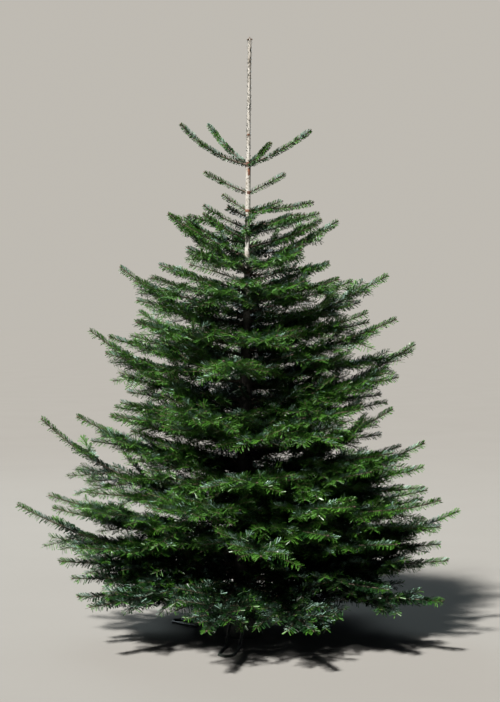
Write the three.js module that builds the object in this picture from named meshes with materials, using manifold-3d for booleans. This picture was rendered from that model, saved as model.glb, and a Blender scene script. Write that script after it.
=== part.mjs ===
// A cut fir sold as a Christmas tree, standing in a plain steel stand with rod legs.
// Millimetres, +Z up. The origin is the middle of the stand's flat underside, on the floor.
// Azimuths are in degrees: 0 is +X (the tree's right), 90 is +Y (its back), 270 is its front.
import * as THREE from "three";
import { mergeVertices } from "three/addons/utils/BufferGeometryUtils.js";
import Module from "manifold-3d";

const wasm = await Module();
wasm.setup();

// Driving dimensions
const TREE_HEIGHT = 2030;
const TRUNK_LEAN_DEG = 0.65;
const TRUNK_SIDES = 12;
const CLEARANCE = 0.3;

// Stand: a cup that holds the trunk's cut end, three rod legs and three clamp screws
const CUP_RADIUS = 66;
const CUP_HEIGHT = 150;
const CUP_WALL = 3;
const CUP_FLOOR = 6;
const CUP_CHAMFER = 2;
const CUP_SIDES = 24;
const LEG_AZIMUTHS = [260, 20, 140];
const LEG_REACH = 330;
const LEG_ROOT_HEIGHT = 96;
const LEG_LANDING = 190;
const LEG_LANDING_RUN = 30;
const LEG_LANDING_RISE = 3;
const ROD_RADIUS = 5;
const ROD_FLAT = 0.5;
const LEG_HALF_WIDTH = 23;
const LEG_STEPS = 22;
const SCREW_AZIMUTHS = [320, 80, 200];
const SCREW_HEIGHT = 122;
const SCREW_RADIUS = 5;
const SCREW_POINT_REACH = 20;
const SCREW_HEAD_REACH = 104;
const SCREW_BAR_INSET = 6;
const SCREW_BAR_LENGTH = 44;
const SCREW_BAR_RADIUS = 3.5;
const SCREW_SIDES = 8;

// Trunk radius at shares of the tree's height: root flare, even taper, a thin leader over the top whorl
const TRUNK_TAPER = [
  [0, 43],
  [0.022, 39.5],
  [0.06, 37],
  [0.18, 32],
  [0.35, 24],
  [0.48, 17.5],
  [0.5, 15],
  [0.6, 10.8],
  [0.62, 9.2],
  [0.785, 8.2],
  [0.8, 6.4],
  [0.93, 5.6],
  [0.985, 6.2],
  [0.995, 4.5],
];

// Each tier of boughs: its height on the trunk, and for each bough its azimuth, its length along the
// curve, its rise at the trunk and at the tip in degrees, and whether its inner stretch is a bare limb.
const TIERS = [
  {
    height: 210,
    boughs: [
      { azimuth: 181, length: 805, rise: [6, 28], limb: true },
      { azimuth: 1, length: 765, rise: [8, 24], limb: true },
      { azimuth: 331, length: 715, rise: [-6, 2], limb: true },
      { azimuth: 290, length: 625, rise: [-8, -4], limb: true },
      { azimuth: 260, length: 620, rise: [-8, -3], limb: true },
      { azimuth: 220, length: 620, rise: [-6, 0], limb: true },
      { azimuth: 122, length: 630, rise: [2, 16] },
      { azimuth: 58, length: 640, rise: [2, 16] },
    ],
  },
  {
    height: 360,
    boughs: [
      { azimuth: 198, length: 680, rise: [4, 20] },
      { azimuth: 337, length: 695, rise: [4, 18] },
      { azimuth: 275, length: 600, rise: [-2, 4] },
    ],
  },
  {
    height: 440,
    boughs: [
      { azimuth: 178, length: 770, rise: [2, 44], limb: true },
      { azimuth: 2, length: 650, rise: [12, 26] },
      { azimuth: 305, length: 590, rise: [3, 9] },
      { azimuth: 244, length: 590, rise: [3, 9] },
      { azimuth: 88, length: 620, rise: [10, 26] },
    ],
  },
  {
    height: 530,
    boughs: [
      { azimuth: 184, length: 605, rise: [14, 28] },
      { azimuth: 351, length: 555, rise: [20, 32] },
      { azimuth: 274, length: 560, rise: [3, 8] },
    ],
  },
  {
    height: 720,
    boughs: [
      { azimuth: 179, length: 615, rise: [24, 38] },
      { azimuth: 0, length: 635, rise: [18, 32] },
      { azimuth: 312, length: 540, rise: [5, 11] },
      { azimuth: 243, length: 540, rise: [5, 13] },
      { azimuth: 94, length: 560, rise: [18, 32] },
    ],
  },
  {
    height: 900,
    boughs: [
      { azimuth: 350, length: 535, rise: [14, 24] },
      { azimuth: 150, length: 480, rise: [20, 30] },
      { azimuth: 262, length: 480, rise: [3, 8] },
      { azimuth: 181, length: 475, rise: [10, 18] },
    ],
  },
  {
    height: 990,
    boughs: [
      { azimuth: 178, length: 502, rise: [26, 37] },
      { azimuth: 3, length: 535, rise: [22, 30] },
      { azimuth: 283, length: 430, rise: [2, 7] },
      { azimuth: 222, length: 470, rise: [5, 13] },
      { azimuth: 88, length: 460, rise: [24, 34] },
    ],
  },
  {
    height: 1175,
    boughs: [
      { azimuth: 186, length: 304, rise: [12, 20] },
      { azimuth: 352, length: 290, rise: [14, 22] },
    ],
  },
  {
    height: 1240,
    boughs: [
      { azimuth: 174, length: 332, rise: [32, 40] },
      { azimuth: 6, length: 353, rise: [26, 32] },
      { azimuth: 303, length: 320, rise: [6, 14] },
      { azimuth: 232, length: 310, rise: [8, 15] },
      { azimuth: 92, length: 320, rise: [28, 36] },
    ],
  },
  {
    height: 1445,
    boughs: [
      { azimuth: 178, length: 98, rise: [28, 38] },
      { azimuth: 340, length: 230, rise: [0, 10] },
    ],
  },
  {
    height: 1506,
    boughs: [
      { azimuth: 182, length: 160, rise: [20, 30] },
      { azimuth: 358, length: 138, rise: [22, 32] },
    ],
  },
  {
    height: 1600,
    boughs: [
      { azimuth: 180, length: 270, rise: [12, 50] },
      { azimuth: 136, length: 248, rise: [28, 50] },
      { azimuth: 0, length: 240, rise: [20, 38] },
      { azimuth: 293, length: 190, rise: [10, 20] },
    ],
  },
];

// Boughs
const AXIS_STEPS = 12;
const SWEEP_DEG = 5;
const LIMB_SHARE = 0.27;
const LIMB_SIDES = 6;
const LIMB_RINGS = 4;
const STEM_SIDES = 3;
const STEM_RINGS = 4;
const BOUGH_RADIUS_SHARE = 0.0145;
const BOUGH_TIP_RADIUS = 2.6;

// Sprays: toothed blades set in pairs along the stem, one more at its tip
const SPRAY_PLANS = [
  { fromLength: 700, pairs: 5, tipFrom: 0.78 },
  { fromLength: 540, pairs: 4, tipFrom: 0.78 },
  { fromLength: 400, pairs: 3, tipFrom: 0.76 },
  { fromLength: 280, pairs: 2, tipFrom: 0.72 },
  { fromLength: 0, pairs: 0, tipFrom: 0.25 },
];
const FIRST_PAIR_SHARE = 0.3;
const LAST_PAIR_BEFORE_TIP = 0.07;
const STEM_PAST_TIP_ROOT = 0.03;
const PAIR_STAGGER = 0.04;
const SPRAY_ANGLE_DEG = 48;
const SPRAY_ANGLE_SPREAD_DEG = 5;
const SPRAY_LENGTH_SHARE = 0.46;
const SPRAY_LENGTH_BASE = 0.07;
const SPRAY_WIDTH_SHARE = 0.36;
const SPRAY_WIDTH_LEAST = 56;
const SPRAY_WIDTH_MOST = 105;
const SPRAY_DEPTH_SHARE = 0.34;
const SPRAY_ROLL_DEG = 50;
const SPRAY_LIFT_DEG = 30;
const SPRAY_LEVELLING = 0.6;
const FIRST_VALLEY = 0.1;
const TOOTHED_SHARE = 0.78;
const TOOTH_TAPER = 0.62;
const VALLEY_SHARE = 0.16;
const LONG_SPRAY = 310;
const SPRAY_TRIES = [1, 0.8, 0.62, 0.46];
const LOWEST_TIP = 112;
const LOWEST_SPRAY = 55;
const SPRAY_GAP = 1;

// Colours
const BARK = { color: 0x8b7f6e, roughness: 0.85, metalness: 0 };
const BOUGH_BARK = { color: 0x6f6450, roughness: 0.85, metalness: 0 };
const NEEDLES = { color: 0x1f4a22, roughness: 0.45, metalness: 0 };
const STEEL = { color: 0x16201a, roughness: 0.45, metalness: 0.6 };

const UP = new THREE.Vector3(0, 0, 1);
const tree = new THREE.Group();

// A seeded source of even numbers from 0 to 1
function seededNumbers(seed) {
  let state = seed;
  return () => {
    state = (state * 1664525 + 1013904223) % 4294967296;
    return state / 4294967296;
  };
}

// An angle in radians, anywhere within a number of degrees either way
function evenly(random, degrees) {
  return THREE.MathUtils.degToRad((random() * 2 - 1) * degrees);
}

// A closed geometry as a solid
function solidOf(geometry) {
  const bare = new THREE.BufferGeometry();
  bare.setAttribute("position", geometry.getAttribute("position"));
  if (geometry.index) {
    bare.setIndex(geometry.index);
  }
  const merged = mergeVertices(bare, 1e-4);
  const mesh = new wasm.Mesh({
    numProp: 3,
    vertProperties: new Float32Array(merged.getAttribute("position").array),
    triVerts: new Uint32Array(merged.index.array),
  });
  return new wasm.Manifold(mesh);
}

// A solid as a geometry
function geometryOf(solid) {
  const mesh = solid.getMesh();
  const geometry = new THREE.BufferGeometry();
  const positions = new Float32Array(mesh.numVert * 3);
  for (let i = 0; i < mesh.numVert; i++) {
    positions.set(mesh.vertProperties.subarray(i * mesh.numProp, i * mesh.numProp + 3), i * 3);
  }
  geometry.setAttribute("position", new THREE.BufferAttribute(positions, 3));
  geometry.setIndex(new THREE.BufferAttribute(new Uint32Array(mesh.triVerts), 1));
  geometry.computeVertexNormals();
  return geometry;
}

function addNode(name, solid, finish) {
  const mesh = new THREE.Mesh(geometryOf(solid), new THREE.MeshStandardMaterial(finish));
  mesh.name = name;
  tree.add(mesh);
}

// The horizontal direction at an azimuth
function heading(azimuthDeg) {
  const angle = THREE.MathUtils.degToRad(azimuthDeg);
  return new THREE.Vector3(Math.cos(angle), Math.sin(angle), 0);
}

// The middle of the leaning trunk at a height
function trunkCentre(height) {
  return new THREE.Vector3(height * Math.tan(THREE.MathUtils.degToRad(TRUNK_LEAN_DEG)), 0, height);
}

// The trunk, whole from its flat cut to the rounded tip of its leader, each radius larger by grow
function trunkSolid(grow) {
  const foot = CUP_FLOOR + CLEARANCE;
  const profile = [new THREE.Vector2(0, foot - grow)];
  for (const [share, radius] of TRUNK_TAPER) {
    const height = Math.max(share * TREE_HEIGHT, foot - grow);
    profile.push(new THREE.Vector2(radius + grow, height));
  }
  profile.push(new THREE.Vector2(0, TREE_HEIGHT + grow));
  const geometry = new THREE.LatheGeometry(profile, TRUNK_SIDES);
  geometry.rotateX(Math.PI / 2);
  const position = geometry.getAttribute("position");
  for (let i = 0; i < position.count; i++) {
    position.setX(i, position.getX(i) + trunkCentre(position.getZ(i)).x);
  }
  return solidOf(geometry);
}

// A tapering limb along a curve between two shares of it: a cylinder bent to the curve
function limbSolid(curve, from, to, radiusAt, sides, rings) {
  const geometry = new THREE.CylinderGeometry(1, 1, 1, sides, rings);
  const position = geometry.getAttribute("position");
  for (let i = 0; i < position.count; i++) {
    const share = THREE.MathUtils.lerp(from, to, position.getY(i) + 0.5);
    const { along, side, over } = frameAt(curve, share);
    const centre = curve.getPointAt(share);
    const radius = radiusAt(share);
    centre.addScaledVector(over, position.getX(i) * radius);
    centre.addScaledVector(side, position.getZ(i) * radius);
    position.setXYZ(i, centre.x, centre.y, centre.z);
  }
  return solidOf(geometry);
}

// Directions at a share of a curve: along it, level across it, and square to both
function frameAt(curve, share) {
  const along = curve.getTangentAt(Math.min(Math.max(share, 0), 1));
  const side = new THREE.Vector3().crossVectors(UP, along).normalize();
  const over = new THREE.Vector3().crossVectors(along, side);
  return { along, side, over };
}

// A bough's middle line: from the middle of the trunk, its rise changing evenly to the tip
function boughCurve(height, bough, random) {
  const sweep = (random() * 2 - 1) * SWEEP_DEG;
  const points = [trunkCentre(height)];
  for (let step = 0; step < AXIS_STEPS; step++) {
    const share = (step + 0.5) / AXIS_STEPS;
    const rise = THREE.MathUtils.degToRad(THREE.MathUtils.lerp(...bough.rise, share));
    const run = bough.length / AXIS_STEPS;
    const next = points[step].clone();
    next.addScaledVector(heading(bough.azimuth + sweep * (share - 0.5)), Math.cos(rise) * run);
    next.z += Math.sin(rise) * run;
    points.push(next);
  }
  return new THREE.CatmullRomCurve3(points);
}

// One side of a spray's outline from root to tip, as distances along it and out from its middle line:
// teeth that point forwards, each with its valley before it
function toothedSide(length, width, teeth) {
  const side = [];
  for (let tooth = 0; tooth < teeth; tooth++) {
    const valley = FIRST_VALLEY + (TOOTHED_SHARE * tooth) / teeth;
    const taper = 1 - TOOTH_TAPER * (tooth / teeth);
    side.push([length * valley, width * VALLEY_SHARE * taper]);
    side.push([length * (valley + TOOTHED_SHARE / teeth), (width / 2) * taper]);
  }
  return side;
}

// A spray along +X: a blade with a toothed outline and sharp edges, deepest on its middle line
function sprayGeometry(length, width, depth, teeth) {
  const side = toothedSide(length, width, teeth);
  const ridge = side.filter((_, i) => i % 2 === 0).map(([x]) => x);
  const points = [[0, 0, 0], [length, 0, 0]];
  const add = (point) => points.push(point) - 1;
  const left = side.map(([x, y]) => add([x, y, 0]));
  const right = side.map(([x, y]) => add([x, -y, 0]));
  const over = ridge.map((x) => add([x, 0, depth / 2]));
  const under = ridge.map((x) => add([x, 0, -depth / 2]));
  const faces = [];
  for (const [edge, middle, flip] of [
    [left, over, false],
    [right, over, true],
    [left, under, true],
    [right, under, false],
  ]) {
    const face = (a, b, c) => faces.push(...(flip ? [a, c, b] : [a, b, c]));
    face(0, middle[0], edge[0]);
    for (let tooth = 0; tooth < teeth; tooth++) {
      const next = tooth + 1 < teeth ? middle[tooth + 1] : 1;
      const valley = tooth + 1 < teeth ? edge[2 * tooth + 2] : 1;
      face(edge[2 * tooth], middle[tooth], edge[2 * tooth + 1]);
      if (tooth + 1 < teeth) {
        face(edge[2 * tooth + 1], middle[tooth], valley);
        face(middle[tooth], next, valley);
      } else {
        face(edge[2 * tooth + 1], middle[tooth], 1);
      }
    }
  }
  const geometry = new THREE.BufferGeometry();
  geometry.setAttribute("position", new THREE.Float32BufferAttribute(points.flat(), 3));
  geometry.setIndex(faces);
  return geometry;
}

// A spray at a share of its full size, its face turned by its roll about its own length
function spraySolid(spray, size) {
  const { root, along } = spray;
  const length = spray.length * size;
  const width = spray.width * size;
  const over = spray.over.clone().applyAxisAngle(along, spray.roll);
  const teeth = length > LONG_SPRAY ? 3 : 2;
  const geometry = sprayGeometry(length, width, width * SPRAY_DEPTH_SHARE, teeth);
  const across = new THREE.Vector3().crossVectors(over, along).normalize();
  const face = new THREE.Vector3().crossVectors(along, across);
  geometry.applyMatrix4(new THREE.Matrix4().makeBasis(along, across, face).setPosition(root));
  return solidOf(geometry);
}

function boughRadius(bough, share) {
  const root = Math.max(BOUGH_TIP_RADIUS + 1, bough.length * BOUGH_RADIUS_SHARE);
  return THREE.MathUtils.lerp(root, BOUGH_TIP_RADIUS, share);
}

function sprayPlan(bough) {
  return SPRAY_PLANS.find(({ fromLength }) => bough.length >= fromLength);
}

// The sprays of one bough, the one at the tip first: where each is rooted, its direction and its size
function boughSprays(curve, bough, random) {
  const { pairs, tipFrom } = sprayPlan(bough);
  const lastPair = tipFrom - LAST_PAIR_BEFORE_TIP;
  const tip = curve.getPointAt(1);
  const tipRoot = curve.getPointAt(tipFrom);
  const tipLength = tip.distanceTo(tipRoot);
  const sprays = [
    {
      root: tipRoot,
      along: tip.clone().sub(tipRoot).normalize(),
      over: frameAt(curve, tipFrom).over,
      roll: evenly(random, SPRAY_ROLL_DEG),
      length: tipLength,
      width: THREE.MathUtils.clamp(tipLength * SPRAY_WIDTH_SHARE, SPRAY_WIDTH_LEAST, SPRAY_WIDTH_MOST),
    },
  ];
  for (let pair = 0; pair < pairs; pair++) {
    const even = pair / (pairs - 1);
    for (const hand of [1, -1]) {
      const share = THREE.MathUtils.lerp(FIRST_PAIR_SHARE, lastPair, even) + (random() - 0.5) * PAIR_STAGGER;
      const { along, side, over } = frameAt(curve, share);
      const angle = THREE.MathUtils.degToRad(SPRAY_ANGLE_DEG) + evenly(random, SPRAY_ANGLE_SPREAD_DEG);
      const lift = evenly(random, SPRAY_LIFT_DEG);
      const direction = along.clone().multiplyScalar(Math.cos(angle) * Math.cos(lift));
      direction.addScaledVector(side, hand * Math.sin(angle) * Math.cos(lift));
      direction.addScaledVector(over, Math.sin(lift));
      const root = curve.getPointAt(share);
      const length = bough.length * (SPRAY_LENGTH_SHARE * (1 - share) + SPRAY_LENGTH_BASE);
      direction.z *= SPRAY_LEVELLING;
      if (root.z + direction.z * length < LOWEST_TIP) {
        direction.z = Math.abs(direction.z);
      }
      sprays.push({
        root,
        along: direction.normalize(),
        over,
        roll: evenly(random, SPRAY_ROLL_DEG),
        length: length * (0.92 + 0.16 * random()),
        width: THREE.MathUtils.clamp(length * SPRAY_WIDTH_SHARE, SPRAY_WIDTH_LEAST, SPRAY_WIDTH_MOST),
      });
    }
  }
  return sprays;
}

// True if a solid touches, or all but touches, any of the solids placed so far
function touches(solid, placed) {
  const box = solid.boundingBox();
  return placed.some((other) => {
    const apart = [0, 1, 2].some((k) => box.min[k] > other.box.max[k] || box.max[k] < other.box.min[k]);
    return !apart && solid.minGap(other.solid, SPRAY_GAP) < SPRAY_GAP;
  });
}

function remember(placed, solid) {
  placed.push({ solid, box: solid.boundingBox() });
}

// One mass of foliage: a stem with the sprays that find room, joined into one body
function massSolid(curve, bough, random, placed, trunkRoom) {
  const stemFrom = bough.limb ? LIMB_SHARE + CLEARANCE / bough.length : 0;
  const stemTo = sprayPlan(bough).tipFrom + STEM_PAST_TIP_ROOT;
  const radiusAt = (share) => boughRadius(bough, share);
  let stem = limbSolid(curve, stemFrom, stemTo, radiusAt, STEM_SIDES, STEM_RINGS);
  if (!bough.limb) {
    stem = largestBody(stem.subtract(trunkRoom));
  }
  let mass = stem;
  for (const spray of boughSprays(curve, bough, random)) {
    for (const size of SPRAY_TRIES) {
      const blade = spraySolid(spray, size);
      const low = blade.boundingBox().min[2] < LOWEST_SPRAY;
      if (!low && !touches(blade, placed)) {
        mass = mass.add(blade);
        break;
      }
    }
  }
  return largestBody(mass);
}

// The largest of the bodies that a cut has left
function largestBody(solid) {
  const bodies = solid.decompose();
  return bodies.reduce((best, body) => (body.volume() > best.volume() ? body : best));
}

// Stand

function rodSolid(points) {
  const path = new THREE.CatmullRomCurve3(points, false, "centripetal");
  const section = new THREE.Shape();
  section.absarc(0, 0, ROD_RADIUS, 0, Math.PI * 2);
  const geometry = new THREE.ExtrudeGeometry(section, {
    steps: LEG_STEPS,
    curveSegments: 3,
    extrudePath: path,
  });
  return solidOf(geometry);
}

// A pin at the screws' height, its axis along an azimuth, from one distance from the origin to another
function pinSolid(azimuth, from, to, radius) {
  const geometry = new THREE.CylinderGeometry(radius, radius, to - from, SCREW_SIDES);
  geometry.rotateZ(-Math.PI / 2);
  geometry.translate((from + to) / 2, 0, SCREW_HEIGHT);
  geometry.rotateZ(THREE.MathUtils.degToRad(azimuth));
  return solidOf(geometry);
}

// A clamp screw with a crossbar, its point just clear of the trunk
function screwSolid(azimuth, trunkRoom) {
  const shank = pinSolid(azimuth, SCREW_POINT_REACH, SCREW_HEAD_REACH, SCREW_RADIUS);
  const bar = new THREE.CylinderGeometry(SCREW_BAR_RADIUS, SCREW_BAR_RADIUS, SCREW_BAR_LENGTH, SCREW_SIDES);
  bar.translate(SCREW_HEAD_REACH - SCREW_BAR_INSET, 0, SCREW_HEIGHT);
  bar.rotateZ(THREE.MathUtils.degToRad(azimuth));
  return largestBody(shank.subtract(trunkRoom).add(solidOf(bar)));
}

// The cup with the clamp screws that run through its wall
function cupSolid(trunkRoom) {
  const inner = CUP_RADIUS - CUP_WALL;
  const profile = [
    new THREE.Vector2(0, 0),
    new THREE.Vector2(CUP_RADIUS - CUP_CHAMFER, 0),
    new THREE.Vector2(CUP_RADIUS, CUP_CHAMFER),
    new THREE.Vector2(CUP_RADIUS, CUP_HEIGHT),
    new THREE.Vector2(inner, CUP_HEIGHT),
    new THREE.Vector2(inner, CUP_FLOOR),
    new THREE.Vector2(0, CUP_FLOOR),
  ];
  const geometry = new THREE.LatheGeometry(profile, CUP_SIDES);
  geometry.rotateX(Math.PI / 2);
  const screws = SCREW_AZIMUTHS.map((azimuth) => screwSolid(azimuth, trunkRoom));
  return screws.reduce((cup, screw) => cup.add(screw), solidOf(geometry));
}

// One leg: a rod bent to a hairpin, both ends at the cup, its bend on the floor with a narrow flat under it
function legSolid(azimuth) {
  const root = CUP_RADIUS - 3 * ROD_RADIUS;
  const lying = ROD_RADIUS - ROD_FLAT;
  const straight = LEG_REACH - LEG_HALF_WIDTH - ROD_RADIUS;
  const outward = [
    [root, LEG_ROOT_HEIGHT],
    [(root + LEG_LANDING) / 2, (LEG_ROOT_HEIGHT + lying) / 2],
    [LEG_LANDING, lying + LEG_LANDING_RISE],
    [LEG_LANDING + LEG_LANDING_RUN, lying],
    [straight, lying],
  ];
  const points = outward.map(([x, z]) => new THREE.Vector3(x, LEG_HALF_WIDTH, z));
  for (const turn of [45, 90, 135]) {
    const angle = THREE.MathUtils.degToRad(turn);
    const x = straight + Math.sin(angle) * LEG_HALF_WIDTH;
    points.push(new THREE.Vector3(x, Math.cos(angle) * LEG_HALF_WIDTH, lying));
  }
  outward.reverse().forEach(([x, z]) => points.push(new THREE.Vector3(x, -LEG_HALF_WIDTH, z)));
  const spin = THREE.MathUtils.degToRad(azimuth);
  points.forEach((point) => point.applyAxisAngle(UP, spin));
  return largestBody(rodSolid(points).trimByPlane([0, 0, 1], 0).subtract(cupRoomSolid()));
}

// The room that the cup takes up, with its clearance
function cupRoomSolid() {
  const radius = CUP_RADIUS + CLEARANCE;
  const profile = [
    new THREE.Vector2(0, -CUP_HEIGHT),
    new THREE.Vector2(radius, -CUP_HEIGHT),
    new THREE.Vector2(radius, 2 * CUP_HEIGHT),
    new THREE.Vector2(0, 2 * CUP_HEIGHT),
  ];
  const geometry = new THREE.LatheGeometry(profile, CUP_SIDES);
  geometry.rotateX(Math.PI / 2);
  return solidOf(geometry);
}

// Assembly
const trunk = trunkSolid(0);
const trunkRoom = trunkSolid(CLEARANCE);
const placed = [];
addNode("trunk", trunk, BARK);
remember(placed, trunk);

const cup = cupSolid(trunkRoom);
addNode("stand_cup", cup, STEEL);
remember(placed, cup);
LEG_AZIMUTHS.forEach((azimuth, i) => {
  const leg = legSolid(azimuth);
  addNode(`stand_leg_${i + 1}`, leg, STEEL);
  remember(placed, leg);
});

// Every bough's curve and every stem come before the sprays, so that no spray runs through a limb
const grown = [];
TIERS.forEach((tier, tierIndex) => {
  tier.boughs.forEach((bough, boughIndex) => {
    const label = `tier_${String(tierIndex + 1).padStart(2, "0")}_${boughIndex + 1}`;
    const random = seededNumbers(1000 * (tierIndex + 1) + boughIndex);
    grown.push({ label, bough, random, curve: boughCurve(tier.height, bough, random) });
  });
});
for (const { label, bough, curve } of grown) {
  if (bough.limb) {
    const radiusAt = (share) => boughRadius(bough, share);
    const limb = limbSolid(curve, 0, LIMB_SHARE, radiusAt, LIMB_SIDES, LIMB_RINGS);
    const cleared = largestBody(limb.subtract(trunkRoom));
    addNode(`bough_${label}`, cleared, BOUGH_BARK);
    remember(placed, cleared);
  }
}
for (const { label, bough, curve, random } of grown) {
  const mass = massSolid(curve, bough, random, placed, trunkRoom);
  addNode(`foliage_${label}`, mass, NEEDLES);
  remember(placed, mass);
}

export default tree;
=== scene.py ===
"""The looks of a cut fir Christmas tree in its steel stand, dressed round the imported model.

Metres, +Z up. The camera looks along +Y. Azimuth 0 is +X, 90 is +Y (the back), 270 is the front.
"""

import math

import bpy
import numpy as np
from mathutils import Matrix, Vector, noise


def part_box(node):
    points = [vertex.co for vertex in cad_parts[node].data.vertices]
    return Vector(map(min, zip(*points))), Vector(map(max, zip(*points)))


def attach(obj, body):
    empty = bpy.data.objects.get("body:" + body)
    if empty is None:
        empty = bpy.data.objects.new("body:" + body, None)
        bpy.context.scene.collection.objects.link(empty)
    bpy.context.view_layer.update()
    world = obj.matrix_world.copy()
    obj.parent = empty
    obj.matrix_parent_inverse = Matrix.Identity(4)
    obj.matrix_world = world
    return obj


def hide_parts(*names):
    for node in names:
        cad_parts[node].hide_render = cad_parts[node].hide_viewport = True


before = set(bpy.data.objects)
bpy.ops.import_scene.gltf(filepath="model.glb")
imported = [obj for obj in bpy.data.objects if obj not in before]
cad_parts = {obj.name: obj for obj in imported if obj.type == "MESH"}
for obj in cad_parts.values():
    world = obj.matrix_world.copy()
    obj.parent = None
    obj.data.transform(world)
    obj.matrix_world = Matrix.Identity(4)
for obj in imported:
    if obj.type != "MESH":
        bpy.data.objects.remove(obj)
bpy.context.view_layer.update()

# The tree's growth, by the same rule and from the same sizes as its solids

TREE_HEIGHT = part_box("trunk")[1].z
TRUNK_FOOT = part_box("trunk")[0].z
TRUNK_LEAN = math.radians(0.65)

# Trunk radius at shares of the tree's height
TRUNK_TAPER = (
    (0.0, 0.043),
    (0.022, 0.0395),
    (0.06, 0.037),
    (0.18, 0.032),
    (0.35, 0.024),
    (0.48, 0.0175),
    (0.5, 0.015),
    (0.6, 0.0108),
    (0.62, 0.0092),
    (0.785, 0.0082),
    (0.8, 0.0064),
    (0.93, 0.0056),
    (0.985, 0.0062),
    (0.995, 0.0045),
    (1.0, 0.0),
)

# Each tier: its height on the trunk, and for each bough its azimuth, length, and rise at root and tip
TIERS = (
    (0.210, (
        (181, 0.805, 6, 28),
        (1, 0.765, 8, 24),
        (331, 0.715, -6, 2),
        (290, 0.625, -8, -4),
        (260, 0.620, -8, -3),
        (220, 0.620, -6, 0),
        (122, 0.630, 2, 16),
        (58, 0.640, 2, 16),
    )),
    (0.360, (
        (198, 0.680, 4, 20),
        (337, 0.695, 4, 18),
        (275, 0.600, -2, 4),
    )),
    (0.440, (
        (178, 0.770, 2, 44),
        (2, 0.650, 12, 26),
        (305, 0.590, 3, 9),
        (244, 0.590, 3, 9),
        (88, 0.620, 10, 26),
    )),
    (0.530, (
        (184, 0.605, 14, 28),
        (351, 0.555, 20, 32),
        (274, 0.560, 3, 8),
    )),
    (0.720, (
        (179, 0.615, 24, 38),
        (0, 0.635, 18, 32),
        (312, 0.540, 5, 11),
        (243, 0.540, 5, 13),
        (94, 0.560, 18, 32),
    )),
    (0.900, (
        (350, 0.535, 14, 24),
        (150, 0.480, 20, 30),
        (262, 0.480, 3, 8),
        (181, 0.475, 10, 18),
    )),
    (0.990, (
        (178, 0.502, 26, 37),
        (3, 0.535, 22, 30),
        (283, 0.430, 2, 7),
        (222, 0.470, 5, 13),
        (88, 0.460, 24, 34),
    )),
    (1.175, (
        (186, 0.304, 12, 20),
        (352, 0.290, 14, 22),
    )),
    (1.240, (
        (174, 0.332, 32, 40),
        (6, 0.353, 26, 32),
        (303, 0.320, 6, 14),
        (232, 0.310, 8, 15),
        (92, 0.320, 28, 36),
    )),
    (1.445, (
        (178, 0.098, 28, 38),
        (340, 0.230, 0, 10),
    )),
    (1.506, (
        (182, 0.160, 20, 30),
        (358, 0.138, 22, 32),
    )),
    (1.600, (
        (180, 0.270, 12, 50),
        (136, 0.248, 28, 50),
        (0, 0.240, 20, 38),
        (293, 0.190, 10, 20),
    )),
)

AXIS_STEPS = 48
# The most that a bough turns sideways along its length, in degrees
SWEEP_DEG = 5
BOUGH_RADIUS_SHARE = 0.0145
BOUGH_ROOT_LEAST = 0.0028
BOUGH_TIP_RADIUS = 0.0018
BOUGH_TAPER = 1.7
# From each bough length on: its pairs of side shoots, and the share of the bough where its tip starts
SPRAY_PLANS = (
    (0.700, 5, 0.78),
    (0.540, 4, 0.78),
    (0.400, 3, 0.76),
    (0.280, 2, 0.72),
    (0.0, 0, 0.25),
)
FIRST_PAIR_SHARE = 0.3
LAST_PAIR_BEFORE_TIP = 0.07
PAIR_STAGGER = 0.04
SPRAY_ANGLE = math.radians(48)
SPRAY_ANGLE_SPREAD = math.radians(5)
SPRAY_LIFT = math.radians(30)
SPRAY_LEVELLING = 0.6
SPRAY_ROLL = math.radians(50)
ROLL_SHARE = 0.5
LOWEST_TIP = 0.112
SPRAY_LENGTH_SHARE = 0.46
SPRAY_LENGTH_BASE = 0.07
SPRAY_SIZE = (0.92, 0.16)

WHORLS = tuple(height for height, rows in TIERS if len(rows) > 2)

# Brown patches on the pale bark: lowest and highest point, middle azimuth and half spread in degrees
SCARS = (
    (1.590, 1.612, 270, 180),
    (1.560, 1.590, 300, 42),
    (1.499, 1.512, 305, 60),
    (1.438, 1.450, 262, 90),
    (1.698, 1.705, 262, 46),
    (1.228, 1.252, 270, 180),
)
SCAR_PROUD = 0.0005

# Shorter shoots between the pairs, at these shares of the bough. High up the first of them are left out.
BETWEEN_SHARES = (0.12, 0.2, 0.28, 0.37, 0.46, 0.56, 0.66, 0.79)
BETWEEN_SCATTER = 0.02
BETWEEN_LENGTH = (0.45, 0.8)
BETWEEN_TURN = (-0.15, 0.2)
BETWEEN_LIFT = 0.4
OPEN_ABOVE = 1.1
LEFT_OUT_ABOVE = 2

# Finer twigs, which grow on by the same rule, at these shares of the shoot that carries them
TWIG_SHARES = (0.24, 0.48, 0.72)
TWIGLET_SHARES = (0.45,)
TWIG_SCATTER = 0.05
TWIG_LENGTH = (0.75, 1.15)
TWIG_TURN = 0.14
TWIG_LIFT = 0.3
TWIG_LEAST = 0.045

# The two long boughs low on the tree's left are open: fewer shoots between, and fewer twigs on them
OPEN_BOUGHS = ("tier_01_1", "tier_03_1")
OPEN_BETWEEN = (0.12, 0.2, 0.28)
OPEN_TWIGS = (0.48,)

# The bare inner stretch: a share of a long bough and of one between the tiers, and a length on a short one
SHORT_BOUGH = 0.4
SHORT_BARE = 0.02
TIER_BARE = 0.12
BETWEEN_BARE = 0.1

SHOOT_BEND = (-0.07, 0.05)
AXIS_LINK = 0.07
TWIG_RADIUS = 0.0009
TWIG_RADIUS_SHARE = 0.006

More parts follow.
